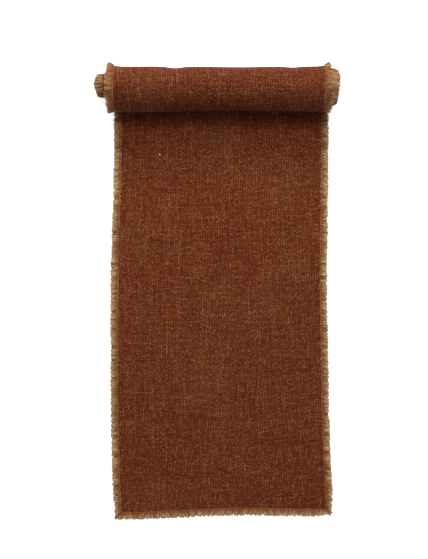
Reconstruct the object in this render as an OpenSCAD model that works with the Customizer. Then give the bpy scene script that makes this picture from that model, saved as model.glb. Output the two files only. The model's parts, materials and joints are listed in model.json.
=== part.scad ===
/* [Cloth] */
// Length of the whole runner, from end fringe tip to end fringe tip
runner_l = 1829; // [1500:1:2200]
// Width of the whole runner, from side fringe tip to side fringe tip
runner_w = 356; // [300:1:430]
// Thickness of the woven cloth
cloth_t = 0.8; // [0.6:0.1:1.1]

/* [Fringe] */
// Length of the loose yarns along the two long sides
side_fringe = 10.5; // [8:0.1:18]
// Length of the loose yarns at the two ends
end_fringe = 10.5; // [6:0.5:15]
// Thickness of the layer of loose yarns
fringe_t = 0.6; // [0.4:0.1:0.6]

/* [Stay stitch] */
// Width of the sewn row that stops the fraying
stitch_w = 1; // [0.6:0.1:2]

/* [Laid part] */
// Woven length that lies flat, from the free end to the foot of the roll
laid_l = 684; // [450:1:900]
// Woven length from the free end to the pressed crease that the end folds on
flap_l = 155; // [100:1:220]
// Gap between the two sides of the crease
crease_gap = 0.4; // [0.3:0.1:1]
// Height of the fold line above the top of the cloth
crease_rise = 0.3; // [0.2:0.1:1]

/* [Roll] */
// Outside diameter of the roll
roll_d = 76; // [68:1:93]
// Diameter over the middle turns, where they start
middle_d = 63; // [52:1:65]
// Diameter over the tight core
core_d = 40; // [34:1:48]
// Number of loose outer turns
outer_turns = 1.5; // [1:0.25:2]
// Number of middle turns
middle_turns = 2.5; // [2:0.25:3]
// Least gap between two turns of the outer and middle parts
turn_gap = 0.4; // [0.3:0.1:0.6]
// Gap between two turns of the core
core_gap = 0.7; // [0.6:0.1:0.9]
// Direction in which the inner turns settle, in degrees below the back of the roll
settle_angle = 45; // [30:1:60]
// How far the middle turns have slipped to the right
middle_slip = 13; // [0:1:20]
// How far the core has slipped to the left
core_slip = 20; // [0:1:30]

/* [Hidden] */

cloth_colour = "#7c3f24";
stitch_colour = "#5e2c18";
fringe_colour = "#b08a5a";

// Half widths of the plain weave, of the stitched rows and of the fringes
half_fringe = runner_w / 2;
half_stitch = half_fringe - side_fringe;
half_plain = half_stitch - stitch_w;

// The woven length that is rolled up, shared out from the outside inwards
rolled_l = runner_l - 2 * end_fringe - laid_l;
outer_r = (roll_d - cloth_t) / 2;
middle_r = (middle_d - cloth_t) / 2;
core_r = (core_d - cloth_t) / 2;
outer_l = PI * outer_turns * (outer_r + middle_r);
middle_l = PI * middle_turns * (middle_r + core_r);
core_l = rolled_l - outer_l - middle_l;
core_pitch = cloth_t + core_gap;
inner_r = sqrt(core_r * core_r - core_l * core_pitch / PI);

// Turn counts at which the middle turns, the core, its end stitch and its end fringe begin and end
middle_from = outer_turns;
core_from = middle_from + middle_turns;
cloth_end = core_from + (core_r - inner_r) / core_pitch;
inner_stitch_from = cloth_end - stitch_w / (2 * PI * inner_r);
inner_fringe_end = cloth_end + end_fringe / (2 * PI * inner_r);
facets_per_turn = 36;

// Places along the runner: its footprint is centred on the origin
front_y = -(end_fringe + laid_l + roll_d / 2) / 2;
free_y = front_y + end_fringe;
crease_y = free_y + flap_l;
roll_y = free_y + laid_l;
roll_z = roll_d / 2;

// The fold line lies over the middle of the crease, just above the cloth
fold_z = cloth_t + crease_rise;

// Radius of the cloth's middle layer after t turns from the foot of the roll
function turn_r(t) =
    t < middle_from ? outer_r + (middle_r - outer_r) * t / outer_turns
    : t < core_from ? middle_r + (core_r - middle_r) * (t - middle_from) / middle_turns
    : core_r - core_pitch * (t - core_from);

// How far the centre of a turn has settled, which leaves turn_gap on that side
function settled(t) = outer_r - turn_r(min(t, core_from)) - (cloth_t + turn_gap) * min(t, core_from);

// A point of the winding, as [y, z], with off as the height above the middle layer
function wound_point(t, off) = [
    roll_y + settled(t) * cos(settle_angle) + (turn_r(t) + off) * sin(360 * t),
    roll_z - settled(t) * sin(settle_angle) - (turn_r(t) + off) * cos(360 * t)
];

// A flat strip of the runner between two widths and two lengths
module strip(x0, x1, y0, y1, thick) {
    translate([x0, y0, 0]) cube([x1 - x0, y1 - y0, thick]);
}

// A wound strip of the runner between two widths and two turn counts
module winding(x0, x1, t0, t1, thick) {
    steps = ceil((t1 - t0) * facets_per_turn);
    outside = [for (i = [0:steps]) wound_point(t0 + (t1 - t0) * i / steps, thick / 2)];
    inside = [for (i = [steps:-1:0]) wound_point(t0 + (t1 - t0) * i / steps, -thick / 2)];
    translate([x0, 0, 0])
        rotate([90, 0, 90])
            linear_extrude(x1 - x0)
                polygon(concat(outside, inside));
}

// The free end: it folds up and back on the crease
module free_end_strip(x0, x1, thick) {
    strip(x0, x1, free_y, crease_y - crease_gap / 2, thick);
}
module free_end_cloth() {
    color(cloth_colour)
        strip(-half_plain, half_plain, free_y + stitch_w, crease_y - crease_gap / 2, cloth_t);
}
module free_end_stay_stitch_left() {
    color(stitch_colour) free_end_strip(-half_stitch, -half_plain, cloth_t);
}
module free_end_stay_stitch_right() {
    color(stitch_colour) free_end_strip(half_plain, half_stitch, cloth_t);
}
module front_stay_stitch() {
    color(stitch_colour) strip(-half_plain, half_plain, free_y, free_y + stitch_w, cloth_t);
}
module free_end_fringe_left() {
    color(fringe_colour) free_end_strip(-half_fringe, -half_stitch, fringe_t);
}
module free_end_fringe_right() {
    color(fringe_colour) free_end_strip(half_stitch, half_fringe, fringe_t);
}
module front_fringe() {
    color(fringe_colour) strip(-half_stitch, half_stitch, front_y, free_y, fringe_t);
}

// The part that lies flat between the crease and the foot of the roll
module laid_strip(x0, x1, thick) {
    strip(x0, x1, crease_y + crease_gap / 2, roll_y, thick);
}
module laid_cloth() {
    color(cloth_colour) laid_strip(-half_plain, half_plain, cloth_t);
}
module laid_stay_stitch_left() {
    color(stitch_colour) laid_strip(-half_stitch, -half_plain, cloth_t);
}
module laid_stay_stitch_right() {
    color(stitch_colour) laid_strip(half_plain, half_stitch, cloth_t);
}
module laid_fringe_left() {
    color(fringe_colour) laid_strip(-half_fringe, -half_stitch, fringe_t);
}
module laid_fringe_right() {
    color(fringe_colour) laid_strip(half_stitch, half_fringe, fringe_t);
}

// The loose outer turns
module outer_turns_strip(x0, x1, thick) {
    winding(x0, x1, 0, middle_from, thick);
}
module outer_turns_cloth() {
    color(cloth_colour) outer_turns_strip(-half_plain, half_plain, cloth_t);
}
module outer_turns_stay_stitch_left() {
    color(stitch_colour) outer_turns_strip(-half_stitch, -half_plain, cloth_t);
}
module outer_turns_stay_stitch_right() {
    color(stitch_colour) outer_turns_strip(half_plain, half_stitch, cloth_t);
}
module outer_turns_fringe_left() {
    color(fringe_colour) outer_turns_strip(-half_fringe, -half_stitch, fringe_t);
}
module outer_turns_fringe_right() {
    color(fringe_colour) outer_turns_strip(half_stitch, half_fringe, fringe_t);
}

// The middle turns, slipped to the right
module middle_turns_strip(x0, x1, thick) {
    winding(x0 + middle_slip, x1 + middle_slip, middle_from, core_from, thick);
}
module middle_turns_cloth() {
    color(cloth_colour) middle_turns_strip(-half_plain, half_plain, cloth_t);
}
module middle_turns_stay_stitch_left() {
    color(stitch_colour) middle_turns_strip(-half_stitch, -half_plain, cloth_t);
}
module middle_turns_stay_stitch_right() {
    color(stitch_colour) middle_turns_strip(half_plain, half_stitch, cloth_t);
}
module middle_turns_fringe_left() {
    color(fringe_colour) middle_turns_strip(-half_fringe, -half_stitch, fringe_t);
}
module middle_turns_fringe_right() {
    color(fringe_colour) middle_turns_strip(half_stitch, half_fringe, fringe_t);
}

// The tight core, slipped to the left
module core_turns_strip(x0, x1, t1, thick) {
    winding(x0 - core_slip, x1 - core_slip, core_from, t1, thick);
}
module core_turns_cloth() {
    color(cloth_colour) core_turns_strip(-half_plain, half_plain, inner_stitch_from, cloth_t);
}
module core_turns_stay_stitch_left() {
    color(stitch_colour) core_turns_strip(-half_stitch, -half_plain, cloth_end, cloth_t);
}
module core_turns_stay_stitch_right() {
    color(stitch_colour) core_turns_strip(half_plain, half_stitch, cloth_end, cloth_t);
}
module core_turns_fringe_left() {
    color(fringe_colour) core_turns_strip(-half_fringe, -half_stitch, cloth_end, fringe_t);
}
module core_turns_fringe_right() {
    color(fringe_colour) core_turns_strip(half_stitch, half_fringe, cloth_end, fringe_t);
}

// The other end of the runner, inside the core
module inner_end_stay_stitch() {
    color(stitch_colour)
        winding(-half_plain - core_slip, half_plain - core_slip, inner_stitch_from, cloth_end, cloth_t);
}
module inner_end_fringe() {
    color(fringe_colour)
        winding(-half_stitch - core_slip, half_stitch - core_slip, cloth_end, inner_fringe_end, fringe_t);
}

free_end_cloth();
free_end_stay_stitch_left();
free_end_stay_stitch_right();
front_stay_stitch();
free_end_fringe_left();
free_end_fringe_right();
front_fringe();
laid_cloth();
laid_stay_stitch_left();
laid_stay_stitch_right();
laid_fringe_left();
laid_fringe_right();
outer_turns_cloth();
outer_turns_stay_stitch_left();
outer_turns_stay_stitch_right();
outer_turns_fringe_left();
outer_turns_fringe_right();
middle_turns_cloth();
middle_turns_stay_stitch_left();
middle_turns_stay_stitch_right();
middle_turns_fringe_left();
middle_turns_fringe_right();
core_turns_cloth();
core_turns_stay_stitch_left();
core_turns_stay_stitch_right();
core_turns_fringe_left();
core_turns_fringe_right();
inner_end_stay_stitch();
inner_end_fringe();
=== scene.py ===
"""A half-unrolled table runner with frayed edges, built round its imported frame, as a sidebar add-on."""
import json
import math

import bpy
import numpy as np
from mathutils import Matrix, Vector


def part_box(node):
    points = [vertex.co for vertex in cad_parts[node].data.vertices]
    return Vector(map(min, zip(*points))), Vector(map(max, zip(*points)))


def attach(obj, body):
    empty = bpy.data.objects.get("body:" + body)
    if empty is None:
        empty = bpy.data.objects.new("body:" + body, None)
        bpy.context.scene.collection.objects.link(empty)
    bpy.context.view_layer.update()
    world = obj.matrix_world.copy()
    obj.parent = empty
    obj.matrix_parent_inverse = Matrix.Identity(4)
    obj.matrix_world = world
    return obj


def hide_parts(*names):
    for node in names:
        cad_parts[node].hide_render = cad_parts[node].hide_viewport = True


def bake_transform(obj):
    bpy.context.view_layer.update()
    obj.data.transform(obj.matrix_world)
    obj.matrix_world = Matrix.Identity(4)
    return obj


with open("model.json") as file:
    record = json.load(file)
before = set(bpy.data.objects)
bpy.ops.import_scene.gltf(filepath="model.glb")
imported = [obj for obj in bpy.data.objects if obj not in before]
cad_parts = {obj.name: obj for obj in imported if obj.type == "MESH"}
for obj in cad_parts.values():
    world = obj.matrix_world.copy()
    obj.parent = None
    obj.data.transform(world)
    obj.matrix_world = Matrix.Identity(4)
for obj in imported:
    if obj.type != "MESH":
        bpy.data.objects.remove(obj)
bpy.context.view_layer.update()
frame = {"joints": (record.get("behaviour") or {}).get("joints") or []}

bl_info = {
    "name": "Table Runner",
    "version": (1, 0, 0),
    "blender": (4, 5, 0),
    "location": "3D View > Sidebar > Runner",
    "description": "Builds a slubby table runner with eyelash fringes, half rolled up, and its studio",
    "category": "Add Mesh",
}

SEED = 14

# Bodies of the imported frame, and the stretches that start the names of its nodes
LAID_BODY = "laid_and_rolled"
FREE_BODY = "free_end"
STRETCHES = ("free_end", "laid", "outer_turns", "middle_turns", "core_turns")

# Places read from the frame, in metres
LAID_LOW, LAID_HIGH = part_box("laid_cloth")
LEFT_LOW, LEFT_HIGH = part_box("laid_fringe_left")
FRONT_LOW, FRONT_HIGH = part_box("front_fringe")
HINGE = next(joint for joint in frame["joints"] if joint["name"] == "free_end_fold")
FREE_Y = FRONT_HIGH.y
FOOT_Y = LAID_HIGH.y
CREASE_Y = HINGE["pos_m"][1]
MIDDLE_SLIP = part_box("middle_turns_cloth")[1].x - LAID_HIGH.x
CORE_SLIP = LAID_LOW.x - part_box("core_turns_cloth")[0].x

# Share by which the underside is darker, and how far its part of the plan is set off sideways
UNDERSIDE_SHADE = 0.13
UNDERSIDE_OFFSET = 2.0

# UV maps of the cloth, of the yarns, and the one kept for baking
CLOTH_PLAN, YARN_PLAN, BAKE_PLAN = "ClothPlan", "YarnPlan", "OFBake"

# Where the plan of the cloth starts, and the middle of the fleck of lint on it
PLAN_START = 0.5
LINT = (0.3974, 1.0858)

# Rings along a modelled yarn, its sides, and how many yarns and strands their numbers can tell apart
RINGS, RING_SIDES = 6, 4
YARNS, STRANDS = 1024, 16

# How far a loose yarn's root is hidden in the weave, how far before its foot the roll's own fringe
# begins, how far the stitches stay off the ends, and the radius of the sewing thread
ROOT = 0.0016
OVERLAP = 0.004
STITCH_MARGIN = 0.002
THREAD_RADIUS = 0.00019

# Length of each side's loose yarns, as a share of the side fringe, then of those in the roll and at
# the free end, and how much longer or shorter the ones over each corner of the free end are
FRINGE_SHARE = {"left": 1.04, "right": 1.0}
ROLL_SHARE = 1.16
FREE_END_SHARE = 1.05
CORNER_GROWTH = {"left": 0.0, "right": -0.52}

# How much paler the loose yarns are outside and inside the roll, how much painted shade darkens the
# ones beneath the tufts, and how rusty all of them are
YARN_LOOKS = {
    "frayed_yarn_side": (0.02, 0.0, 0.80, 0.0),
    "frayed_yarn_roll": (0.02, 0.26, 0.66, 0.06),
    # The free end's yarns are darker and rustier: partly a redder tone, partly painted shade for the light
    # fading towards the free end
    "frayed_yarn_end": (-0.04, 0.0, 0.85, 0.10),
}

# Number of the first yarn of each fringe, and of the yarn where the inner turns begin
SIDE_FIRST, ROLL_FIRST, END_FIRST = 0, 345, 512
INNER_FIRST = ROLL_FIRST + 140

# Loose curls of thread by the side fringes: across, along, radius, start and end of the curl
CURLS = (
    (-0.1655, 0.520, 0.0024, 0.4, 5.2),
    (0.1645, 0.499, 0.0020, -1.2, 3.4),
    (0.1660, 0.609, 0.0022, 1.0, 5.4),
)


# ---------------------------------------------------------------- sizes and colours

def length(name, description, default, low=0.0):
    """A length that a user may change."""
    return bpy.props.FloatProperty(name=name, description=description, default=default, min=low,
                                   unit="LENGTH")


def colour(name, description, default):
    """A colour that a user may change."""
    return bpy.props.FloatVectorProperty(name=name, description=description, default=default,
                                         subtype="COLOR", size=3, min=0.0, max=1.0)


class RunnerSizes(bpy.types.PropertyGroup):
    """Sizes of the runner, its roll, its fringes and its thread."""

    woven_width: length("Woven width", "Width of the woven cloth between its side fringes",
                        2 * LEFT_HIGH.x * -1, 0.1)
    woven_length: length("Woven length", "Length of the woven cloth between its end fringes", 1.808, 0.9)
    thickness: length("Cloth thickness", "Thickness of the woven cloth", LAID_HIGH.z - LAID_LOW.z, 0.0003)
    side_fringe: length("Side fringe", "Length of the loose yarns along the long sides",
                        LEFT_HIGH.x - LEFT_LOW.x, 0.002)
    end_fringe: length("End fringe", "Length of the loose yarns at the two ends",
                       FRONT_HIGH.y - FRONT_LOW.y, 0.002)
    roll_diameter: length("Roll diameter", "Outside diameter that the winding starts with", 0.076, 0.03)
    middle_diameter: length("Middle diameter", "Outside diameter where the middle turns start", 0.063, 0.02)
    core_diameter: length("Core diameter", "Outside diameter where the tight core starts", 0.040, 0.02)
    outer_turns: bpy.props.FloatProperty(
        name="Outer turns", description="Number of loose outer turns", default=1.5, min=0.5)
    middle_turns: bpy.props.FloatProperty(
        name="Middle turns", description="Number of middle turns", default=2.5, min=0.5)
    turn_gap: length("Turn gap", "Least gap between two turns", 0.0004)
    core_gap: length("Core gap", "Gap between two turns of the core", 0.0007)
    settle_angle: bpy.props.FloatProperty(
        name="Settling direction", description="Direction in which the inner turns settle, below the back",
        default=math.radians(45), subtype="ANGLE")
    strands: bpy.props.IntProperty(
        name="Strands", description="Fine strands that each loose yarn has come apart into",
        default=9, min=1)
    strand_radius: length("Strand radius", "Radius of a strand near its root", 0.00032, 0.0001)
    stitch_pitch: length("Stitch pitch", "Distance from one stay stitch to the next", 0.0030, 0.001)
    stitch_inset: length("Stitch inset", "Distance of the stay stitches from the edge of the weave", 0.0012)
    yarn_pitch: length("Yarn pitch", "Distance between two yarns of the weave", 0.0020, 0.0003)


class RunnerColours(bpy.types.PropertyGroup):
    """Colours of the cloth, the loose yarns, the thread and the floor."""

    ground: colour("Ground", "Rust of most of the yarns", (0.254, 0.0500, 0.0148))
    dark: colour("Dark yarn", "Dark brown of the deepest dyed yarns", (0.073, 0.0131, 0.0034))
    slub: colour("Slub", "Tan of the thick slubs that took less dye", (0.515, 0.262, 0.108))
    fringe_root: colour("Fringe root", "Golden brown of the loose yarns where they leave the weave",
                        (0.19, 0.064, 0.0195))
    fringe_tip: colour("Fringe tip", "Beige of the worn tips of the loose yarns", (0.470, 0.312, 0.150))
    thread: colour("Thread", "Dark rust of the stay stitches", (0.050, 0.013, 0.006))
    floor: colour("Floor", "Pale studio floor", (0.92, 0.92, 0.92))


# ---------------------------------------------------------------- the shape of the cloth

def smooth(low, high, value):
    """0 below low, 1 above high, and an even curve between them."""
    share = np.clip((np.asarray(value, float) - low) / (high - low), 0.0, 1.0)
    return share * share * (3 - 2 * share)


def bump(centre, width, value):
    """A soft hill, 1 high at its centre."""
    return np.exp(-((np.asarray(value, float) - centre) / width) ** 2)


def through(points, value):
    """A smooth curve through the given points."""
    xs, ys = np.array(points).T
    slopes = np.gradient(ys, xs)
    value = np.clip(np.asarray(value, float), xs[0], xs[-1])
    i = np.clip(np.searchsorted(xs, value) - 1, 0, len(xs) - 2)
    span = xs[i + 1] - xs[i]
    t = (value - xs[i]) / span
    rise = ys[i] + (ys[i + 1] - ys[i]) * t * t * (3 - 2 * t)
    return rise + span * (slopes[i] * t * (1 - t) ** 2 - slopes[i + 1] * t * t * (1 - t))


class RunnerShape:
    """The middle layer of the cloth: where a point of the flat cut lies, laid out and rolled up.

    across is measured from the centre line to the right, along from the woven free end towards the
    roll, and above from the middle layer towards the face of the cloth, all in metres. Past the ends
    and sides of the weave the same surface carries on, and the loose yarns lie along it.
    """

    SAMPLES = 12000

    # Plain cloth before the free end, for the loose yarns there, and how far the core winds inwards
    LEAD = 0.05
    CORE_SHARE = 0.93

    # Sideways place of the outer turn, how much less far the middle turns have slipped than their
    # solid, how far each turn wanders sideways, and the laid cloth's place from free end to roll
    OUTER_PLACE = -0.0007
    RING_BACK = 0.0028
    ASKEW = 0.0025
    SWAY = ((0.0, 0.0075), (0.05, 0.0046), (0.11, 0.0025), (0.18, 0.0008), (0.25, 0.0004), (0.33, -0.0008),
            (0.41, -0.0006), (0.48, 0.0012), (0.55, 0.0026), (0.62, 0.0031), (0.70, 0.0031))

    # Width over the plain width at the free end, near the roll and in the roll
    WIDTHS = (1.015, 0.993, 1.006)

    # Reach of the free end from its left to its right corner
    END_LINE = ((-0.180, 0.0036), (-0.130, 0.0042), (-0.100, 0.0024), (-0.060, 0.0010), (-0.020, -0.0010),
                (0.040, -0.0028), (0.080, -0.0021), (0.120, -0.0008), (0.180, -0.0004))

    # Faint creases of the laid cloth: across and along of both ends, width and height
    CREASES = (
        (-0.160, 0.468, -0.070, 0.440, 0.011, 0.00208),
        (-0.165, 0.272, -0.110, 0.262, 0.010, 0.00143),
        (-0.090, 0.163, 0.020, 0.152, 0.009, 0.00130),
        (0.085, 0.128, 0.160, 0.121, 0.010, 0.00130),
        (-0.045, 0.060, 0.030, 0.085, 0.012, 0.00117),
        (0.040, 0.360, 0.130, 0.395, 0.016, 0.00130),
        (-0.020, 0.545, 0.090, 0.520, 0.015, 0.00117),
    )

    # Soft dents of the outer turn: across, width, turn, spread and depth towards the axis
    DENTS = (
        (-0.071, 0.015, 0.30, 0.14, 0.0030),
        (0.042, 0.045, 0.28, 0.14, 0.0012),
        (0.117, 0.016, 0.30, 0.14, 0.0020),
        (0.020, 0.040, 0.80, 0.12, 0.0018),
        (-0.120, 0.030, 0.72, 0.10, -0.0016),
    )

    def __init__(self, sizes):
        self.sizes = sizes
        self.half = sizes.woven_width / 2
        self.laid = FOOT_Y - FREE_Y
        self.length = sizes.woven_length
        self.crease = CREASE_Y - FREE_Y
        pitch = sizes.thickness + sizes.core_gap
        self.outer_r = (sizes.roll_diameter - sizes.thickness) / 2
        self.middle_r = (sizes.middle_diameter - sizes.thickness) / 2
        self.core_r = (sizes.core_diameter - sizes.thickness) / 2
        self.core_from = sizes.outer_turns + sizes.middle_turns
        last = self.core_from + self.core_r / pitch * self.CORE_SHARE
        turns = np.linspace(0, last, self.SAMPLES)
        radius = self.radius_after(turns)
        tight = sizes.thickness + sizes.turn_gap
        wound = np.minimum(turns, self.core_from)
        settled = self.outer_r - self.radius_after(wound) - tight * wound
        angle = 2 * math.pi * turns
        back = FOOT_Y + settled * math.cos(sizes.settle_angle) + radius * np.sin(angle)
        up = sizes.roll_diameter / 2 - settled * math.sin(sizes.settle_angle) - radius * np.cos(angle)
        steps = np.hypot(np.diff(back), np.diff(up))
        wound_length = np.concatenate(([0.0], np.cumsum(steps)))
        self.along = np.concatenate(([-self.LEAD], self.laid + wound_length))
        self.back = np.concatenate(([FREE_Y - self.LEAD], back))
        self.up = np.concatenate(([sizes.thickness / 2], up))
        self.turns = np.concatenate(([0.0], turns))
        slope = np.gradient(self.back, self.along), np.gradient(self.up, self.along)
        size = np.hypot(*slope)
        self.slope = slope[0] / size, slope[1] / size

    def radius_after(self, turns):
        """Radius of the middle layer after so many turns from the foot of the roll."""
        s = self.sizes
        outer = self.outer_r + (self.middle_r - self.outer_r) * turns / s.outer_turns
        middle = self.middle_r + (self.core_r - self.middle_r) * (turns - s.outer_turns) / s.middle_turns
        core = self.core_r - (s.thickness + s.core_gap) * (turns - self.core_from)
        return np.where(turns < s.outer_turns, outer, np.where(turns < self.core_from, middle, core))

    def turns_at(self, along):
        """Turns wound at a place along the cut, 0 on the laid part."""
        return np.interp(along, self.along, self.turns)

    def slip(self, along):
        """How far the winding has slipped sideways: first to the right, and the core to the left."""
        turns = self.turns_at(along)
        ring = MIDDLE_SLIP - self.RING_BACK
        right = (ring - self.OUTER_PLACE) * smooth(1.0, 1.5, turns)
        left = (ring + CORE_SLIP) * smooth(self.core_from - 0.5, self.core_from + 0.35, turns)
        askew = self.ASKEW * np.sin(2 * math.pi * turns) * smooth(1.0, 1.4, turns)
        askew = askew * (1 - 1.3 * smooth(self.core_from - 0.5, self.core_from, turns))
        return right - left + askew

    def sway(self, along):
        """The gentle wander of the laid cloth from a straight line, and the place of the outer turn."""
        laid = through(self.SWAY, np.clip(along, 0.0, self.laid))
        return laid + (self.OUTER_PLACE - laid) * smooth(0.02, 0.30, self.turns_at(along))

    def stretch(self, along):
        """The laid cloth is a little wider at its free end than near the roll."""
        free, near, rolled = self.WIDTHS
        spread = (free + near) / 2 + (free - near) / 2 * np.cos(math.pi * np.clip(along / self.laid, 0, 1))
        return spread + (rolled - near) * smooth(0.02, 0.30, self.turns_at(along))

    def skew(self, across, along):
        """How far the free end reaches past a straight line, less and less up the cloth."""
        return through(self.END_LINE, across) * (1 - smooth(0.0, 0.30, along))

    def relief(self, across, along):
        """Height of the soft waves, creases and dents over the plain shape."""
        laid = 1 - smooth(self.laid - 0.09, self.laid - 0.01, along)
        near_crease = 1 - 0.75 * bump(self.crease, 0.03, along)
        wave = 0.0004 * (1 + np.sin(9.1 * across + 13.0 * along + 0.6))
        wave += 0.0005 * (1 + np.sin(31 * across - 11.5 * along + 2.1 * np.sin(7 * along)))
        wave += 0.0003 * (1 + np.sin(17 * across + 37 * along + 1.9 * np.sin(11 * across)))
        height = wave * laid * near_crease
        for *line, width, tall in self.CREASES:
            height = height + tall * self.ridge(across, along, *line, width)
        turns = self.turns_at(along)
        wound = smooth(0.02, 0.2, turns) * np.exp(-0.5 * turns)
        angle = 2 * math.pi * turns
        dents = 0.0003 * np.sin(13 * across + 1.3 + 0.8 * np.sin(angle)) - 0.0006
        dents += 0.0002 * (1 + np.sin(37 * across + 2 * np.sin(angle + 0.4)))
        for a0, width, turn, spread, deep in self.DENTS:
            dents = dents + deep * bump(a0, width, across) * bump(turn, spread, turns)
        edge = smooth(self.half - 0.014, self.half, np.abs(across))
        dents = dents - (0.0003 + 0.0012 * edge) * bump(0.28, 0.14, turns)
        return height + dents * wound

    @staticmethod
    def ridge(across, along, a0, s0, a1, s1, width):
        """A soft ridge over a line of the cloth, fading at its ends."""
        length = math.hypot(a1 - a0, s1 - s0)
        da, ds = (a1 - a0) / length, (s1 - s0) / length
        run = ((across - a0) * da + (along - s0) * ds) / length
        off = (across - a0) * ds - (along - s0) * da
        fade = smooth(-0.25, 0.25, run) * (1 - smooth(0.75, 1.25, run))
        return fade * np.exp(-(off / width) ** 2)

    def place(self, across, along, above=0.0):
        """Points of the runner in the frame, one row each."""
        across, along = np.broadcast_arrays(np.asarray(across, float), np.asarray(along, float))
        above = above + self.relief(across, along)
        back = np.interp(along, self.along, self.back)
        up = np.interp(along, self.along, self.up)
        slope_back = np.interp(along, self.along, self.slope[0])
        slope_up = np.interp(along, self.along, self.slope[1])
        size = np.hypot(slope_back, slope_up)
        x = across * self.stretch(along) + self.sway(along) + self.slip(along)
        y = back - above * slope_up / size - self.skew(across, along)
        z = up + above * slope_back / size
        return np.stack([x, y, z], -1)


# ---------------------------------------------------------------- small helpers

def sizes():
    return bpy.context.scene.runner_sizes


def colours():
    return bpy.context.scene.runner_colours


def deselect_all():
    if bpy.context.object is not None and bpy.context.object.mode != "OBJECT":
        bpy.ops.object.mode_set(mode="OBJECT")
    bpy.ops.object.select_all(action="DESELECT")


def make_active(piece):
    deselect_all()
    piece.select_set(True)
    bpy.context.view_layer.objects.active = piece


def settle(piece):
    """Puts a piece's place into its mesh, so that its object sits at the origin."""
    make_active(piece)
    bpy.ops.object.transform_apply(location=True, rotation=True, scale=True)


def apply_modifier(piece, kind, name, **settings):
    make_active(piece)
    modifier = piece.modifiers.new(name, kind)
    for key, value in settings.items():
        setattr(modifier, key, value)
    bpy.ops.object.modifier_apply(modifier=name)


def wear(piece, material):
    piece.data.materials.clear()
    piece.data.materials.append(material)


def paint_plan(piece, name, flat):
    """Gives a mesh a UV map from one flat place for each corner of its faces."""
    layer = piece.data.uv_layers.get(name) or piece.data.uv_layers.new(name=name)
    layer.uv.foreach_set("vector", np.ascontiguousarray(flat, np.float32).ravel())


def read(items, field, kind=np.int32, width=1):
    """One field of all of a mesh's vertices, corners or faces, one row each if it is a vector."""
    found = np.zeros(len(items) * width, kind)
    items.foreach_get(field, found)
    return found if width == 1 else found.reshape(-1, width)


def corner_vertices(mesh):
    return read(mesh.loops, "vertex_index")


def bend_at_crease(piece):
    """Puts the piece's place into its mesh, so that its object sits at the origin."""
    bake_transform(piece)


# ---------------------------------------------------------------- materials

class Wire:
    """A shader socket. Sums and products of number wires add the Math nodes they need."""

    def __init__(self, graph, socket):
        self.graph = graph
        self.socket = socket

    def math(self, operation, *others):
        values = {i + 1: other for i, other in enumerate(others)}
        return self.graph.add("ShaderNodeMath", {"operation": operation}, {0: self, **values})

    def reflected(self, operation, other):
        return self.graph.add("ShaderNodeMath", {"operation": operation}, {0: other, 1: self})

    def __add__(self, other):
        return self.math("ADD", other)

    __radd__ = __add__

    def __sub__(self, other):
        return self.math("SUBTRACT", other)

    def __rsub__(self, other):
        return self.reflected("SUBTRACT", other)

    def __mul__(self, other):
        return self.math("MULTIPLY", other)

    __rmul__ = __mul__

    def __truediv__(self, other):
        return self.math("DIVIDE", other)

    def __rtruediv__(self, other):
        return self.reflected("DIVIDE", other)


class Graph:
    """One material's nodes."""

    def __init__(self, name):
        self.material = bpy.data.materials.new(name)
        self.material.use_nodes = True
        self.tree = self.material.node_tree
        self.tree.nodes.clear()

    def add(self, kind, settings=None, values=None, output=0):
        """Adds a node: its settings first, then the values or wires of its sockets."""
        node = self.tree.nodes.new(kind)
        for key, value in (settings or {}).items():
            setattr(node, key, value)
        for key, value in (values or {}).items():
            if isinstance(value, Wire):
                self.tree.links.new(value.socket, node.inputs[key])
            else:
                node.inputs[key].default_value = value
        return Wire(self, node.outputs[output])

    def mix(self, share, first, second, blend="MIX"):
        """Two colours mixed by a share from 0 to 1."""
        settings = {"data_type": "RGBA", "blend_type": blend}
        return self.add("ShaderNodeMix", settings, {0: share, 6: first, 7: second}, output=2)

    def ease(self, value, low, high):
        """0 below low, 1 above high."""
        settings = {"interpolation_type": "SMOOTHSTEP"}
        return self.add("ShaderNodeMapRange", settings, {0: value, 1: low, 2: high, 3: 0.0, 4: 1.0})

    def pair(self, x, y):
        return self.add("ShaderNodeCombineXYZ", None, {0: x, 1: y, 2: 0.0})

    def noise(self, x, y, scale=1.0, detail=1.0):
        """Soft noise about 0.5 at a flat place."""
        return self.add("ShaderNodeTexNoise", {"noise_dimensions": "2D"},
                        {"Vector": self.pair(x, y), "Scale": scale, "Detail": detail})

    def plan(self, uv_map):
        """The two wires of a UV map."""
        place = self.add("ShaderNodeUVMap", {"uv_map": uv_map})
        split = self.add("ShaderNodeSeparateXYZ", None, {0: place})
        return split, Wire(self, split.socket.node.outputs[1])

    def bump(self, height, strength, distance):
        values = {"Strength": strength, "Distance": distance, "Height": height}
        return self.add("ShaderNodeBump", None, values)

    def per_crossing(self, x, y):
        """A steady random number from 0 to 1 for each pair of whole numbers."""
        return self.add("ShaderNodeTexWhiteNoise", {"noise_dimensions": "2D"}, {"Vector": self.pair(x, y)})

    def per_yarn(self, number, salt):
        """A steady random number from 0 to 1 for each whole number."""
        return self.add("ShaderNodeTexWhiteNoise", {"noise_dimensions": "1D"}, {"W": number + salt})

    def finish(self, colour, roughness, normal=None, sheen=0.0, sheen_tint=(1, 1, 1, 1), glow=0.0):
        values = {"Base Color": colour, "Roughness": roughness, "Sheen Weight": sheen,
                  "Sheen Roughness": 0.45, "Sheen Tint": sheen_tint, "Specular IOR Level": 0.06,
                  "Emission Color": (1.0, 1.0, 1.0, 1.0), "Emission Strength": glow}
        if normal is not None:
            values["Normal"] = normal
        shader = self.add("ShaderNodeBsdfPrincipled", None, values)
        output = self.tree.nodes.new("ShaderNodeOutputMaterial")
        self.tree.links.new(shader.socket, output.inputs["Surface"])
        return self.material


def rgba(colour, strength=1.0):
    return (*(channel * strength for channel in colour), 1.0)


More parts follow.
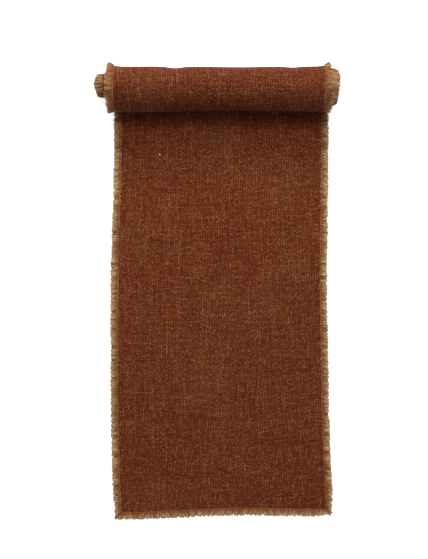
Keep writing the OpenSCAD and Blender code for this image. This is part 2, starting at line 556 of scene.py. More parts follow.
def slubby_weave(name):
    """Rust plain weave of uneven yarns, with tan slubs both ways, patches and a raised grain."""
    s, c = sizes(), colours()
    g = Graph(name)
    x, y = g.plan(CLOTH_PLAN)

    def long_noise(spread, scale):
        """Noise that runs along the lengthwise yarns, a new one for each."""
        return g.noise(long_yarn * spread, y, scale, 0.0)

    def cross_noise(spread, scale):
        """The same along the cross yarns."""
        return g.noise(x, cross_yarn * spread, scale, 0.0)

    def hump(side, power):
        """0 at the edges of a yarn and 1 along its middle, the flatter the higher the power."""
        return 1 - (side * 2 - 1).math("ABSOLUTE").math("POWER", power)

    def gap(place):
        """1 between every two yarns, 0 halfway."""
        return ((place * 0.5).math("FRACT") * 2 - 1).math("ABSOLUTE")

    # The yarns wander a little from straight lines
    x = x + (g.noise(x, y, 9.0, 1.0) - 0.5) * 0.0030
    y = y + (g.noise(x, y, 11.0, 1.0) - 0.5) * 0.0030
    long_place = x / s.yarn_pitch
    cross_place = y / s.yarn_pitch
    long_yarn = long_place.math("FLOOR")
    cross_yarn = cross_place.math("FLOOR")
    long_side = long_place.math("FRACT")
    cross_side = cross_place.math("FRACT")

    # Slubs run along each yarn for a centimetre or two, and slow changes of dye for many
    patches = g.noise(x, y, 30.0, 1.0) * 0.06
    long_slow = long_noise(27.1, 11.0)
    cross_slow = cross_noise(31.7, 15.0)
    long_slub = long_noise(17.37, 36.0) * 0.7 + long_slow * 0.5
    cross_slub = cross_noise(13.91, 50.0) * 0.7 + cross_slow * 0.45
    long_tan = g.ease(long_slub + patches, 0.66, 0.92)
    cross_tan = g.ease(cross_slub + patches, 0.64, 0.89)
    long_dark = g.ease(long_noise(5.13, 44.0) * 0.6 + (1 - long_slow) * 0.6, 0.54, 0.78)
    cross_dark = g.ease(cross_noise(8.77, 60.0) * 0.6 + (1 - cross_slow) * 0.6, 0.54, 0.78)

    # Which yarn is on top changes at every crossing
    over = (long_yarn + cross_yarn).math("MODULO", 2.0).math("ABSOLUTE")
    over = g.ease(over, 0.4, 0.6)
    long_bow = (long_side * math.pi).math("SINE")
    cross_bow = (cross_side * math.pi).math("SINE")
    high = over * hump(long_side, 2.6) * cross_bow + (1 - over) * hump(cross_side, 2.6) * long_bow
    spot = g.per_crossing(long_yarn, cross_yarn)
    fleck = g.per_crossing((long_place * 2).math("FLOOR") + 0.5, (cross_place * 2).math("FLOOR"))

    # Tan slubs are the yarns' own colour; keeping them to the middle of each yarn, where it is highest,
    # adds a painted highlight on its crown
    warp = g.mix(long_dark * 0.6, rgba(c.ground, 1.06), rgba(c.dark))
    warp = g.mix(long_tan * hump(long_side, 1.4) * 0.88, warp, rgba(c.slub))
    weft = g.mix(cross_dark * 0.6, rgba(c.ground), rgba(c.dark))
    weft = g.mix(cross_tan * hump(cross_side, 1.4) * 0.88, weft, rgba(c.slub, 0.95))
    woven = g.mix(over, weft, warp)
    woven = g.mix(g.ease(spot, 0.35, 0.92) * 0.68, woven, rgba(c.dark, 0.8))
    woven = g.mix(g.ease(1 - spot, 0.70, 0.97) * 0.40, woven, rgba(c.slub))
    woven = g.mix((fleck - 0.5) * 0.8 + 0.27, woven, rgba(c.dark))
    # Painted shade in the low places of the weave, at the edges of the yarns and where they dip under
    woven = g.mix(1 - g.ease(high, 0.05, 0.75), woven, rgba(c.dark, 0.45))

    # The reed leaves a wider gap between every two lengthwise yarns, and the picks a narrower one; the
    # shade in these gaps is painted as thin dark lines
    woven = g.mix(g.ease(gap(long_place), 0.25, 1.0) * 0.92, woven, rgba(c.dark, 0.7))
    woven = g.mix(g.ease(gap(cross_place), 0.3, 1.0) * 0.30, woven, rgba(c.dark, 0.7))

    # Large soft patches where the dye took more or less
    tone = g.noise(x, y, 9.0, 2.0)
    woven = g.mix(g.ease(tone, 0.50, 0.75) * 0.03, woven, rgba(c.slub, 0.6))
    woven = g.mix(g.ease(1 - tone, 0.50, 0.75) * 0.05, woven, rgba(c.dark))

    # One fleck of lint, askew, and the beige ragged edge where the loose yarns leave the weave
    run = (x - LINT[0]) * 0.61 - (y - LINT[1]) * 0.79
    off = (x - LINT[0]) * 0.79 + (y - LINT[1]) * 0.61
    beyond_ends = g.ease(run.math("ABSOLUTE"), 0.0016, 0.0026)
    beyond_sides = g.ease(off.math("ABSOLUTE"), 0.0003, 0.0008)
    woven = g.mix((1 - beyond_ends) * (1 - beyond_sides) * 0.7, woven, rgba(c.fringe_tip, 1.5))
    under = g.ease(x, 1.4, 1.6)
    inside = s.woven_width / 2 - (x - PLAN_START - under * UNDERSIDE_OFFSET).math("ABSOLUTE")
    loose = g.per_yarn((cross_place * 1.5).math("FLOOR"), 7.5) * 0.0034 - 0.0006
    woven = g.mix(g.ease(loose - inside, -0.0004, 0.0006) * 0.55, woven, rgba(c.fringe_tip, 0.7))
    woven = g.mix(under * UNDERSIDE_SHADE, woven, rgba(c.dark, 0.0))
    fluff = g.noise(x, y, 900.0, 2.0)
    height = high + (long_tan * over + cross_tan * (1 - over)) * 0.3 + fluff * 0.3
    return g.finish(woven, 0.94 - long_tan * 0.08, g.bump(height, 0.5, 0.0004),
                    sheen=0.02, sheen_tint=rgba((1.0, 0.5, 0.28)))


def frayed_yarn(name):
    """Loose yarns, golden brown at the root and beige at the worn tip, each with its own tone."""
    c = colours()
    paler, paler_inside, painted_shade_beneath, rusty = YARN_LOOKS[name]
    g = Graph(name)
    place, run = g.plan(YARN_PLAN)
    yarn = (place * YARNS).math("FLOOR")
    strand = (place * (YARNS * STRANDS)).math("FLOOR")
    own = g.per_yarn(yarn, 0.5)
    fine = g.per_yarn(strand, 91.5)
    group = g.noise(yarn * 0.3, 3.7, 1.0, 1.0)
    streak = g.noise(strand * 3.1, run, 4.0, 2.0)
    inner = g.ease(yarn, INNER_FIRST - 20, INNER_FIRST + 20)
    worn = run + (own - 0.5) * 0.35 + (fine - 0.5) * 0.35 + (group - 0.5) * 1.2 + inner * paler_inside
    worn = g.ease(worn, 0.12 - paler, 0.86 - paler)
    tone = g.mix(worn, rgba(c.fringe_root), rgba(c.fringe_tip))
    tone = g.mix(g.ease(fine, 0.68, 0.82) * 0.7, tone, rgba(c.fringe_root, 0.6))
    tone = g.mix(g.ease(streak, 0.55, 0.75) * 0.3, tone, rgba(c.fringe_tip, 1.15))
    # Painted shade along the root, where the yarns leave the weave: a thin dark line
    tone = g.mix(g.ease(1 - run, 0.75, 1.0) * 0.7, tone, rgba(c.fringe_root, 0.7))
    # Painted shade on the even strands that lie beneath the tufts, so that the gaps between tufts look dark
    beneath = 1 - g.ease((place * YARNS).math("FRACT") * STRANDS, Fringe.EVEN - 0.2, Fringe.EVEN + 0.2)
    tone = g.mix(beneath * painted_shade_beneath, tone, rgba(c.fringe_root, 0.55))
    tone = g.mix(rusty, tone, rgba(c.ground, 1.3))
    normal = g.bump(g.noise(strand * 1.7, run, 12.0, 2.0), 0.4, 0.0002)
    return g.finish(tone, 0.9, normal, sheen=0.05, sheen_tint=rgba((1.0, 0.85, 0.65)))


def sewing_thread(name):
    """Fine twisted thread of the stay stitches."""
    c = colours()
    g = Graph(name)
    yarn, run = g.plan(YARN_PLAN)
    twist = (run * 40 + yarn * 60).math("SINE") * 0.5 + 0.5
    tone = g.mix(twist * 0.6, rgba(c.thread), rgba(c.ground, 0.8))
    return g.finish(tone, 0.75, g.bump(twist, 0.4, 0.0001))


def pale_floor(name):
    """Matt white studio floor with a trace of unevenness, lit a little from below."""
    g = Graph(name)
    spot = g.add("ShaderNodeTexCoord", None, None, output=3)
    cloud = g.add("ShaderNodeTexNoise", None, {"Vector": spot, "Scale": 2.0, "Detail": 2.0})
    tone = g.mix(cloud * 0.04, rgba(colours().floor), rgba(colours().floor, 0.94))
    return g.finish(tone, 0.9, glow=0.60)


def material(name, make):
    return bpy.data.materials.get(name) or make(name)


# ---------------------------------------------------------------- yarns and stitches

def turn_outwards():
    """Turns the faces of the mesh that is being edited outwards."""
    bpy.ops.mesh.select_all(action="SELECT")
    bpy.ops.mesh.normals_make_consistent(inside=False)


def model_yarn():
    """One short length of yarn: a square rod cut across into even lengths. Gives its mesh data."""
    deselect_all()
    bpy.ops.mesh.primitive_cylinder_add(vertices=RING_SIDES, radius=1.0, depth=1.0, location=(0, 0, 0.5),
                                        end_fill_type="NGON")
    yarn = bpy.context.object
    settle(yarn)
    bpy.ops.object.mode_set(mode="EDIT")
    for cut in range(1, RINGS - 1):
        bpy.ops.mesh.select_all(action="SELECT")
        bpy.ops.mesh.bisect(plane_co=(0, 0, cut / (RINGS - 1)), plane_no=(0, 0, 1))
    turn_outwards()
    bpy.ops.object.mode_set(mode="OBJECT")
    mesh = yarn.data
    points = np.array([v.co for v in mesh.vertices], float)
    faces = [list(f.vertices) for f in mesh.polygons]
    bpy.data.objects.remove(yarn)
    bpy.data.meshes.remove(mesh)
    return points, faces


def lay_yarns(name, spines, radii, numbers):
    """Copies the modelled yarn along every spine (yarn, ring, xyz) into one mesh."""
    template, faces = model_yarn()
    count = len(spines)
    ring = np.rint(template[:, 2] * (RINGS - 1)).astype(int)
    turn = np.arctan2(template[:, 1], template[:, 0])
    along = np.gradient(spines, axis=1)
    along /= np.maximum(np.linalg.norm(along, axis=2, keepdims=True), 1e-12)
    side = np.cross(along, np.array([0.31, 0.17, 0.93]))
    side /= np.maximum(np.linalg.norm(side, axis=2, keepdims=True), 1e-12)
    other = np.cross(along, side)
    centre = spines[:, ring]
    wide = radii[:, ring][..., None]
    points = centre + wide * (side[:, ring] * np.cos(turn)[None, :, None]
                              + other[:, ring] * np.sin(turn)[None, :, None])
    offsets = np.arange(count) * len(template)
    mesh = bpy.data.meshes.new(name)
    all_faces = [[v + start for v in face] for start in offsets.tolist() for face in faces]
    mesh.from_pydata(points.reshape(-1, 3).tolist(), [], all_faces)
    piece = bpy.data.objects.new(name, mesh)
    bpy.context.scene.collection.objects.link(piece)
    paint_yarn_plans(piece, ring, count, len(template), numbers)
    make_active(piece)
    bpy.ops.object.shade_smooth()
    bpy.ops.object.mode_set(mode="EDIT")
    turn_outwards()
    bpy.ops.object.mode_set(mode="OBJECT")
    return piece


def paint_yarn_plans(piece, ring, count, per_yarn, numbers):
    """The yarn's own number and its run from root to tip, and a map that gives each yarn a cell."""
    corners = corner_vertices(piece.data)
    yarn, vertex = corners // per_yarn, corners % per_yarn
    run = ring[vertex] / (RINGS - 1)
    paint_plan(piece, YARN_PLAN, np.stack([(numbers[yarn] + 0.5) / (YARNS * STRANDS), run], -1))
    columns = max(1, int(math.sqrt(count * 2.0)))
    rows = math.ceil(count / columns)
    across = (yarn % columns + 0.25 + 0.5 * (vertex % 2)) / columns
    up = (yarn // columns + 0.1 + 0.8 * run) / rows
    paint_plan(piece, BAKE_PLAN, np.stack([across, up], -1))


class Fringe:
    """Loose yarns along one edge, each come apart into a tuft of strands that leans and bends."""

    SHARES = np.linspace(0.0, 1.0, RINGS)

    # Strands of each yarn that lie evenly under the tufts, lengths of the ripples in the lean and in
    # the reach of the yarns, and least and greatest width of a clump of them
    EVEN = 3
    RIPPLES = (0.047, 0.0153, 0.083, 0.027)
    CLUMP = (0.004, 0.0095)

    def __init__(self, rng, start, stop, length, pitch, strands, lean=0.0, mess=1.0):
        yarns = int(round((stop - start) / pitch))
        place = start + (np.arange(yarns) + 0.5) * (stop - start) / yarns
        count = yarns * strands
        self.rng = rng
        self.length = length
        self.count = count
        self.mess = mess
        self.yarn = np.repeat(np.arange(yarns), strands)
        self.strand = np.tile(np.arange(strands), yarns)
        inside = (rng.permuted(np.tile(np.arange(strands), (yarns, 1)), axis=1).ravel() + 0.5) / strands
        inside = inside - 0.5 + rng.uniform(-0.05, 0.05, count)
        self.root = place[self.yarn] + inside * pitch * 0.95
        phases = rng.uniform(0, 2 * math.pi, 4)
        wide, tight, long, short = (np.sin(place * 2 * math.pi / apart + phase)
                                    for apart, phase in zip(self.RIPPLES, phases))
        calm = lean + 0.09 * wide
        tuft = calm + (0.05 * tight + rng.normal(0, 0.06, yarns) * mess)
        fan = inside * rng.uniform(0.1, 0.9, yarns)[self.yarn] * pitch
        self.shift = tuft[self.yarn] * length + fan + rng.normal(0, 0.05, count) * length * mess
        reach = 1 + 0.03 * long + (0.02 * short + rng.normal(0, 0.025, yarns) * mess)
        self.reach = length * np.clip(reach[self.yarn] + rng.normal(0, 0.07, count), 0.66, 1.16)
        bow = rng.normal(0, 0.05, yarns)[self.yarn] + rng.normal(0, 0.035, count)
        self.bow = bow * length * mess
        self.lift = 0.5 * rng.uniform(0, 1, yarns)[self.yarn] + 0.5 * rng.uniform(0, 1, count)
        ends = start + np.cumsum(rng.uniform(*self.CLUMP, int((stop - start) / self.CLUMP[0])))
        clump = np.searchsorted(ends, self.root)
        middle = (np.concatenate(([start], ends))[clump] + ends[clump]) / 2
        clump_lean = rng.normal(0, 0.10, len(ends))[clump] * length
        self.shift += 0.42 * (middle - self.root) + clump_lean
        self.even = self.strand < min(self.EVEN, strands - 1)
        evenly = ((self.strand + 0.5) / self.EVEN - 0.5) * pitch
        self.root = np.where(self.even, place[self.yarn] + evenly, self.root)
        level = (calm[self.yarn] + rng.normal(0, 0.01, count)) * length
        self.shift = np.where(self.even, level, self.shift)
        self.bow = np.where(self.even, 0.0, self.bow)
        self.lift = np.where(self.even, 0.0, self.lift)
        self.reach = np.where(self.even, self.reach * 0.90, self.reach)
        self.wide = np.where(self.even, 1.55, rng.uniform(0.70, 1.25, count))
        self.curl = rng.normal(0, 1.0, count)
        self.phase = rng.uniform(0, 2 * math.pi, yarns)[self.yarn]

    def fan(self, near, amount, span, grow):
        """Yarns close to a corner lean out over it, and the even ones are thicker there to fill it."""
        close = np.clip(1 - np.abs(self.root - near) / span, 0, 1)
        self.shift += amount * close * self.length
        self.reach *= 1 + grow * close
        self.wide = np.where(self.even, self.wide * (1 + 0.7 * close), self.wide)

    def out(self, hidden):
        """Distance out from the edge of the weave, with the root hidden inside it."""
        return -hidden + (self.reach[:, None] + hidden) * self.SHARES[None, :]

    def beside(self):
        """Place along the edge."""
        share = self.SHARES[None, :]
        crimp = 0.00018 * np.sin(3.2 * math.pi * share + self.phase[:, None] + 0.5 * self.curl[:, None])
        return (self.root[:, None] + self.shift[:, None] * share ** 1.2
                + self.bow[:, None] * np.sin(math.pi * share) + crimp)

    def above(self, thickness, lift):
        """Height over the middle layer."""
        share = self.SHARES[None, :]
        start = (self.rng.uniform(-0.32, 0.32, self.count) * thickness)[:, None]
        rise = (self.lift * lift)[:, None] * share ** 1.2
        sag = 0.25 * lift * self.curl[:, None] * np.sin(2.2 * math.pi * share)
        return start * (1 - 0.4 * share) + rise + sag * share

    def radii(self, radius):
        """Thick near the root and thin at the tip, a little different from strand to strand."""
        taper = np.interp(self.SHARES, (0.0, 0.2, 0.8, 1.0), (0.85, 1.0, 0.9, 0.5))
        return radius * self.wide[:, None] * taper[None, :]

    def numbers(self, first):
        """A number for each strand, in which the tens of sixteen are its yarn."""
        return (self.yarn + first) % YARNS * STRANDS + self.strand


def curl_of_thread(shape, across, along, radius, start, stop):
    """The middle line of a curl of thread that lies on the cloth."""
    angle = np.linspace(start, stop, RINGS)
    return shape.place(across + radius * np.cos(angle), along + 1.3 * radius * np.sin(angle),
                       1.5 * shape.sizes.thickness)


def lie_on_floor(spines, radii, floor=0.00005):
    """Keeps yarns that reach under the floor just on it."""
    lowest = floor + radii
    spines[..., 2] = np.maximum(spines[..., 2], lowest)
    return spines


# ---------------------------------------------------------------- operators

class RUNNER_OT_cloth(bpy.types.Operator):
    """Lays the woven cloth out, rolls its far end up and gives it its thickness and weave"""

    bl_idname = "runner.cloth"
    bl_label = "Woven cloth"

    def execute(self, context):
        s = sizes()
        shape = RunnerShape(s)
        across, along = self.columns(shape), self.rows(shape)
        deselect_all()
        bpy.ops.mesh.primitive_grid_add(x_subdivisions=len(across) - 1, y_subdivisions=len(along) - 1,
                                        size=1.0, location=(0, 0, 0))
        cloth = context.object
        cloth.name = cloth.data.name = "runner_cloth"
        flat = np.stack([np.tile(across, len(along)), np.repeat(along, len(across))], -1)
        if len(flat) != len(cloth.data.vertices):
            raise RuntimeError("the grid has not the rows and columns that the cloth needs")
        points = shape.place(flat[:, 0], flat[:, 1])
        cloth.data.vertices.foreach_set("co", points.astype(np.float32).ravel())
        cloth.data.update()
        corners = corner_vertices(cloth.data)
        place = flat[corners]
        cloth.data.uv_layers[0].name = CLOTH_PLAN
        paint_plan(cloth, CLOTH_PLAN, place + PLAN_START)
        self.paint_bake_plan(cloth, shape, place)
        self.thin_at_stitches(cloth, shape, flat, s)
        apply_modifier(cloth, "SOLIDIFY", "thickness", thickness=s.thickness, offset=0.0,
                       use_even_offset=True, vertex_group="thickness", thickness_vertex_group=0.0)
        cloth.vertex_groups.clear()
        self.set_underside_off(cloth, len(flat))
        make_active(cloth)
        bpy.ops.object.shade_smooth()
        self.rest_on_floor(cloth)
        wear(cloth, material("slubby_rust_weave", slubby_weave))
        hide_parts(*(f"{stretch}_cloth" for stretch in STRETCHES))
        bend_at_crease(cloth)
        return {"FINISHED"}

    @staticmethod
    def columns(shape):
        """Places across the cloth, closer together by the stitched rows at its sides."""
        half, inset = shape.half, shape.sizes.stitch_inset
        edge = [half - 3.2 * inset, half - 2 * inset, half - inset, half - 0.4 * inset, half]
        inner = np.linspace(-edge[0], edge[0], 66)
        return np.concatenate([-np.array(edge[:0:-1]), inner, np.array(edge[1:])])

    @staticmethod
    def rows(shape):
        """Places along the cloth, closer together at the ends, at the crease and in the core."""
        inset = shape.sizes.stitch_inset
        ends = np.array([0.0, 0.4 * inset, inset, 2 * inset, 3.2 * inset])
        before = np.arange(0.0075, shape.crease - 0.018, 0.0038)
        crease = np.arange(shape.crease - 0.0170, shape.crease + 0.005, 0.0011)
        flat = np.arange(shape.crease + 0.008, shape.laid - 0.002, 0.0038)
        wound = np.arange(shape.laid, shape.laid + 0.72, 0.0036)
        core = np.arange(wound[-1] + 0.003, shape.length - 0.005, 0.0026)
        return np.concatenate([ends, before, crease, flat, wound, core, shape.length - ends[::-1]])

    @staticmethod
    def paint_bake_plan(cloth, shape, place):
        """Two long strips side by side, which fill a square."""
        strip = shape.length / 2
        loops = 4
        mean = place[:, 1].reshape(-1, loops).mean(1)
        second = np.repeat(mean > strip, loops)
        across = (place[:, 0] + shape.half) / (2 * shape.half)
        u = (across * 0.96 + 0.02 + second) / 2
        v = (place[:, 1] - strip * second) / strip * 0.97 + 0.015
        paint_plan(cloth, BAKE_PLAN, np.stack([u, v], -1))

    @staticmethod
    def set_underside_off(cloth, face_points):
        """The plan of the underside lies beside the plan of the face, so that the two can differ."""
        corners = corner_vertices(cloth.data)
        layer = cloth.data.uv_layers[CLOTH_PLAN]
        plan = read(layer.uv, "vector", np.float32, 2)
        starts = read(cloth.data.polygons, "loop_start")
        totals = read(cloth.data.polygons, "loop_total")
        second = np.minimum.reduceat((corners >= face_points).astype(int), starts)
        plan[:, 0] += np.repeat(second, totals) * UNDERSIDE_OFFSET
        paint_plan(cloth, CLOTH_PLAN, plan)

    @staticmethod
    def thin_at_stitches(cloth, shape, flat, s):
        """The cloth is pulled thin under the stay stitches and at its raw edge."""
        side = shape.half - np.abs(flat[:, 0])
        end = np.minimum(flat[:, 1], shape.length - flat[:, 1])
        near = np.minimum(side, end)
        weight = 1 - 0.45 * bump(s.stitch_inset, 0.6 * s.stitch_inset, near)
        weight = weight * (0.6 + 0.4 * smooth(0.0, 0.4 * s.stitch_inset, near))
        group = cloth.vertex_groups.new(name="thickness")
        levels = np.round(weight, 2)
        for level in np.unique(levels):
            group.add(np.flatnonzero(levels == level).tolist(), float(level), "REPLACE")

    @staticmethod
    def rest_on_floor(cloth):
        """No part of the underside is below the floor."""
        points = read(cloth.data.vertices, "co", np.float32, 3)
        points[:, 2] = np.maximum(points[:, 2], 0.0)
        cloth.data.vertices.foreach_set("co", points.ravel())
        cloth.data.update()


class RUNNER_OT_side_fringes(bpy.types.Operator):
    """Frays both long sides: loose yarns in tufts, along the laid cloth and round the roll"""

    bl_idname = "runner.side_fringes"
    bl_label = "Side fringes"

    def execute(self, context):
        s = sizes()
        shape = RunnerShape(s)
        for name, side, seed in (("left", -1, 1), ("right", 1, 2)):
            self.laid_side(shape, s, name, side, np.random.default_rng(SEED * 10 + seed))
            self.rolled_side(shape, s, name, side, np.random.default_rng(SEED * 20 + seed))
        return {"FINISHED"}

    @staticmethod
    def laid_side(shape, s, name, side, rng):
        length = s.side_fringe * FRINGE_SHARE[name]
        fringe = Fringe(rng, 0.0, shape.laid - OVERLAP, length, s.yarn_pitch, s.strands, lean=-0.16)
        fringe.fan(0.0, -0.80, 0.016, CORNER_GROWTH[name])
        across = side * (shape.half + fringe.out(ROOT))
        above = fringe.above(s.thickness, 0.0011)
        radii = fringe.radii(s.strand_radius)
        spines = lie_on_floor(shape.place(across, fringe.beside(), above), radii)
        curls = [c for c in CURLS if c[0] * side > 0]
        spines = np.concatenate([spines] + [curl_of_thread(shape, *curl)[None] for curl in curls])
        radii = np.concatenate([radii, np.full((len(curls), RINGS), 1.1 * s.strand_radius)])
        numbers = np.concatenate([fringe.numbers(SIDE_FIRST), np.full(len(curls), STRANDS - 1)])
        piece = lay_yarns(f"side_fringe_{name}", spines, radii, numbers)
        wear(piece, material("frayed_yarn_side", frayed_yarn))
        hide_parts(f"free_end_fringe_{name}", f"laid_fringe_{name}")
        bend_at_crease(piece)

    @staticmethod
    def rolled_side(shape, s, name, side, rng):
        length = s.side_fringe * FRINGE_SHARE[name] * ROLL_SHARE
        strands = max(1, int(s.strands * 0.8))
        start = shape.laid - OVERLAP
        fringe = Fringe(rng, start, shape.length, length, s.yarn_pitch, strands, mess=2.0)
        turns = shape.turns_at(fringe.root)
        share = fringe.SHARES[None, :]
        outer = (1 - smooth(1.0, 1.2, turns)) * smooth(0.02, 0.15, turns)
        middle = smooth(1.0, 1.2, turns) * (1 - smooth(2.1, 2.4, turns))
        back = np.maximum(np.sin(2 * math.pi * turns), 0)
        front = np.maximum(-np.sin(2 * math.pi * turns), 0) * smooth(0.4, 0.7, turns)
        splay = outer * (0.04 + 0.42 * back ** 2) * fringe.rng.uniform(0.7, 1.2, fringe.count)
        ring = smooth(1.0, 1.2, turns) * (1 - smooth(shape.core_from - 0.7, shape.core_from - 0.4, turns))
        core = smooth(shape.core_from - 0.3, shape.core_from, turns)
        short = 0.6 * splay + ring * 0.30 * back ** 2 + core * (0.45 * back ** 2 + 0.22 * front ** 2)
        across = side * (shape.half + fringe.out(ROOT) * (1 - short)[:, None])
        tuck = middle * (0.12 * back + 0.66 * front)
        bud = core * (0.34 - 0.20 * back) * shape.radius_after(turns) / shape.core_r
        ragged = fringe.rng.normal(0, 1.0, fringe.count) * (0.09 + 0.12 * smooth(0.1, 0.3, bud))
        turn_in = (bud + tuck - splay + ragged) * fringe.reach
        quick = (1.4 - 0.6 * smooth(0.10, 0.40, splay))[:, None]
        above = fringe.above(s.thickness, 0.0006) + turn_in[:, None] * share ** quick
        radii = fringe.radii(s.strand_radius * 1.1)
        spines = shape.place(across, fringe.beside(), above)
        droop = (front * outer) * fringe.rng.uniform(0.3, 0.7, fringe.count) * fringe.reach
        spines[..., 2] -= droop[:, None] * share ** 1.7
        spines[..., 0] -= side * 0.15 * droop[:, None] * share ** 1.7
        spines = lie_on_floor(spines, radii)
        piece = lay_yarns(f"roll_fringe_{name}", spines, radii, fringe.numbers(ROLL_FIRST))
        wear(piece, material("frayed_yarn_roll", frayed_yarn))
        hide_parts(*(f"{turn}_fringe_{name}" for turn in STRETCHES[2:]))
        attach(piece, LAID_BODY)


class RUNNER_OT_end_fringes(bpy.types.Operator):
    """Frays the free end and the hidden end inside the roll"""

    bl_idname = "runner.end_fringes"
    bl_label = "End fringes"

    def execute(self, context):
        s = sizes()
        shape = RunnerShape(s)
        self.fray("free_end_fringe", "front_fringe", shape, s, front=True)
        self.fray("inner_end_fringe_yarns", "inner_end_fringe", shape, s, front=False)
        return {"FINISHED"}

    @staticmethod
    def fray(name, node, shape, s, front):
        rng = np.random.default_rng(SEED * 30 + front)
        strands = s.strands if front else max(1, int(s.strands * 0.6))
        length = s.end_fringe * (FREE_END_SHARE if front else 1.0)
        fringe = Fringe(rng, -shape.half, shape.half, length, s.yarn_pitch, strands)
        if front:
            fringe.fan(-shape.half, -0.85, 0.015, CORNER_GROWTH["left"])
            fringe.fan(shape.half, 0.85, 0.015, CORNER_GROWTH["right"])
        out = fringe.out(ROOT)
        along = -out if front else shape.length + out
        above = fringe.above(s.thickness, 0.0010 if front else 0.0005)
        radii = fringe.radii(s.strand_radius)
        spines = lie_on_floor(shape.place(fringe.beside(), along, above), radii)
        piece = lay_yarns(name, spines, radii, fringe.numbers(END_FIRST))
        wear(piece, material("frayed_yarn_end", frayed_yarn))
        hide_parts(node)
        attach(piece, FREE_BODY if front else LAID_BODY)


class RUNNER_OT_stay_stitches(bpy.types.Operator):
    """Sews the rows of stay stitches beside the fringes, on both faces of the cloth"""

    bl_idname = "runner.stay_stitches"
    bl_label = "Stay stitches"

    def execute(self, context):
        s = sizes()
        shape = RunnerShape(s)
        inset = shape.half - s.stitch_inset
        split, stop = shape.laid - STITCH_MARGIN, shape.length - STITCH_MARGIN
        for name, side in (("left", -1), ("right", 1)):
            laid = self.row(shape, s, f"stay_stitch_{name}", STITCH_MARGIN, split, side * inset, True)
            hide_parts(f"free_end_stay_stitch_{name}", f"laid_stay_stitch_{name}")
            bend_at_crease(laid)
            rolled = self.row(shape, s, f"roll_stay_stitch_{name}", split, stop, side * inset, True)
            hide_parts(*(f"{turn}_stay_stitch_{name}" for turn in STRETCHES[2:]))
            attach(rolled, LAID_BODY)
        front = self.row(shape, s, "free_end_stay_stitch", -inset, inset, s.stitch_inset, False)
        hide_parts("front_stay_stitch")
        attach(front, FREE_BODY)
        inner = self.row(shape, s, "inner_end_stay_stitch_thread", -inset, inset,
                         shape.length - s.stitch_inset, False)
        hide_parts("inner_end_stay_stitch")
        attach(inner, LAID_BODY)
        return {"FINISHED"}

    @staticmethod
    def row(shape, s, name, start, stop, place, lengthwise):
        """A row of stitches on both faces: each dips into the cloth at its two ends."""
        rng = np.random.default_rng(SEED * 40 + len(name))
        count = int((stop - start) / s.stitch_pitch)
        first = start + np.arange(count) * (stop - start) / count
        share = np.linspace(0.0, 1.0, RINGS)[None, :]
        run = first[:, None] + share * s.stitch_pitch * 0.94
        off = place + rng.normal(0, 0.00010, (count, 1)) + 0.00012 * np.sin(2 * math.pi * share)
        off = np.broadcast_to(off, run.shape)
        arch = s.thickness * (0.02 + 0.36 * np.sin(math.pi * share) ** 0.6)
        taper = np.interp(Fringe.SHARES, (0.0, 0.25, 0.75, 1.0), (0.6, 1.0, 1.0, 0.6))
        radii = np.broadcast_to(THREAD_RADIUS * taper, run.shape)
        across, along = (off, run) if lengthwise else (run, off)
        spines = np.concatenate([shape.place(across, along, arch), shape.place(across, along, -arch)])
        radii = np.concatenate([radii, radii])
        spines = lie_on_floor(spines, radii, 0.0)
        piece = lay_yarns(name, spines, radii, np.arange(2 * count))
        wear(piece, material("stay_stitch_thread", sewing_thread))
        return piece


class RUNNER_OT_declare(bpy.types.Operator):
    """A step that does nothing"""

    bl_idname = "runner.declare"
    bl_label = "Flat sizes"

    def execute(self, context):
        return {"FINISHED"}


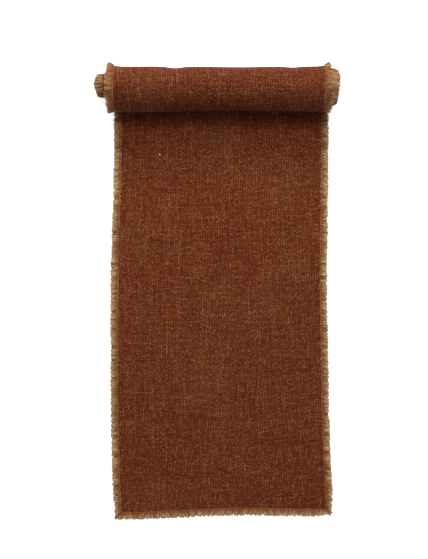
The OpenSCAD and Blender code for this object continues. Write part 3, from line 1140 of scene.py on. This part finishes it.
class RUNNER_OT_stage(bpy.types.Operator):
    """Sets up the pale floor, the soft lights and the camera straight above"""

    bl_idname = "runner.stage"
    bl_label = "Studio"

    # Height of the camera, and length and middle of what it sees on the floor
    CAMERA_HEIGHT = 1.5
    VIEW_LENGTH = 0.922
    VIEW_CENTRE = (-0.009, 0.0243)
    SENSOR = 36.0

    FLOOR_SIZE = 24.0
    LIGHT_SIZE = 1.0
    LIGHT_TARGET = (0, 0.05, 0)
    ROOM_STRENGTH = 0.48

    # Name, place and power of each soft light, all of them behind the roll
    LIGHTS = (
        ("high_back_light", (-0.15, 0.75, 2.10), 7.6),
        ("key_back_light", (-0.24, 1.18, 1.83), 28.5),
        ("low_back_light", (0.08, 2.02, 1.24), 51.0),
    )

    def execute(self, context):
        scene = context.scene
        scene.view_settings.view_transform = "Standard"
        self.floor()
        self.lights()
        self.camera(scene)
        self.world(scene)
        return {"FINISHED"}

    def floor(self):
        deselect_all()
        bpy.ops.mesh.primitive_grid_add(x_subdivisions=8, y_subdivisions=8, size=self.FLOOR_SIZE,
                                        location=(0, 0, -0.0002))
        floor = bpy.context.object
        floor.name = floor.data.name = "studio_floor"
        settle(floor)
        wear(floor, material("pale_floor", pale_floor))

    def camera(self, scene):
        data = bpy.data.cameras.new("view_from_above")
        data.sensor_width = self.SENSOR
        data.lens = self.SENSOR * self.CAMERA_HEIGHT / self.VIEW_LENGTH
        camera = bpy.data.objects.new("view_from_above", data)
        camera.location = (*self.VIEW_CENTRE, self.CAMERA_HEIGHT)
        scene.collection.objects.link(camera)
        scene.camera = camera

    def lights(self):
        for name, place, power in self.LIGHTS:
            data = bpy.data.lights.new(name, "AREA")
            data.shape = "DISK"
            data.size = self.LIGHT_SIZE
            data.energy = power
            light = bpy.data.objects.new(name, data)
            light.location = place
            aim = Vector(self.LIGHT_TARGET) - Vector(place)
            light.rotation_mode = "QUATERNION"
            light.rotation_quaternion = aim.to_track_quat("-Z", "Y")
            bpy.context.scene.collection.objects.link(light)

    def world(self, scene):
        world = bpy.data.worlds.new("soft_white_room")
        world.use_nodes = True
        background = world.node_tree.nodes["Background"]
        background.inputs["Color"].default_value = (1.0, 1.0, 1.0, 1.0)
        background.inputs["Strength"].default_value = self.ROOM_STRENGTH
        scene.world = world


class RUNNER_PT_panel(bpy.types.Panel):
    """Lists the runner's sizes and colours, and a button for each step, in the sidebar"""

    bl_idname = "RUNNER_PT_panel"
    bl_label = "Table Runner"
    bl_space_type = "VIEW_3D"
    bl_region_type = "UI"
    bl_category = "Runner"

    def draw(self, context):
        layout = self.layout
        for group in (context.scene.runner_sizes, context.scene.runner_colours):
            box = layout.box()
            for name in group.bl_rna.properties.keys():
                if name not in ("rna_type", "name"):
                    box.prop(group, name)
        for operator in STEPS:
            layout.operator(operator.bl_idname)


STEPS = (
    RUNNER_OT_stage,
    RUNNER_OT_cloth,
    RUNNER_OT_side_fringes,
    RUNNER_OT_end_fringes,
    RUNNER_OT_stay_stitches,
    RUNNER_OT_declare,
)
CLASSES = (RunnerSizes, RunnerColours, *STEPS, RUNNER_PT_panel)


def register():
    for cls in CLASSES:
        bpy.utils.register_class(cls)
    bpy.types.Scene.runner_sizes = bpy.props.PointerProperty(type=RunnerSizes)
    bpy.types.Scene.runner_colours = bpy.props.PointerProperty(type=RunnerColours)


def unregister():
    del bpy.types.Scene.runner_colours
    del bpy.types.Scene.runner_sizes
    for cls in reversed(CLASSES):
        bpy.utils.unregister_class(cls)


def main():
    register()
    for operator in STEPS:
        group, name = operator.bl_idname.split(".")
        getattr(getattr(bpy.ops, group), name)()
    bpy.context.view_layer.update()


if __name__ == "__main__":
    main()
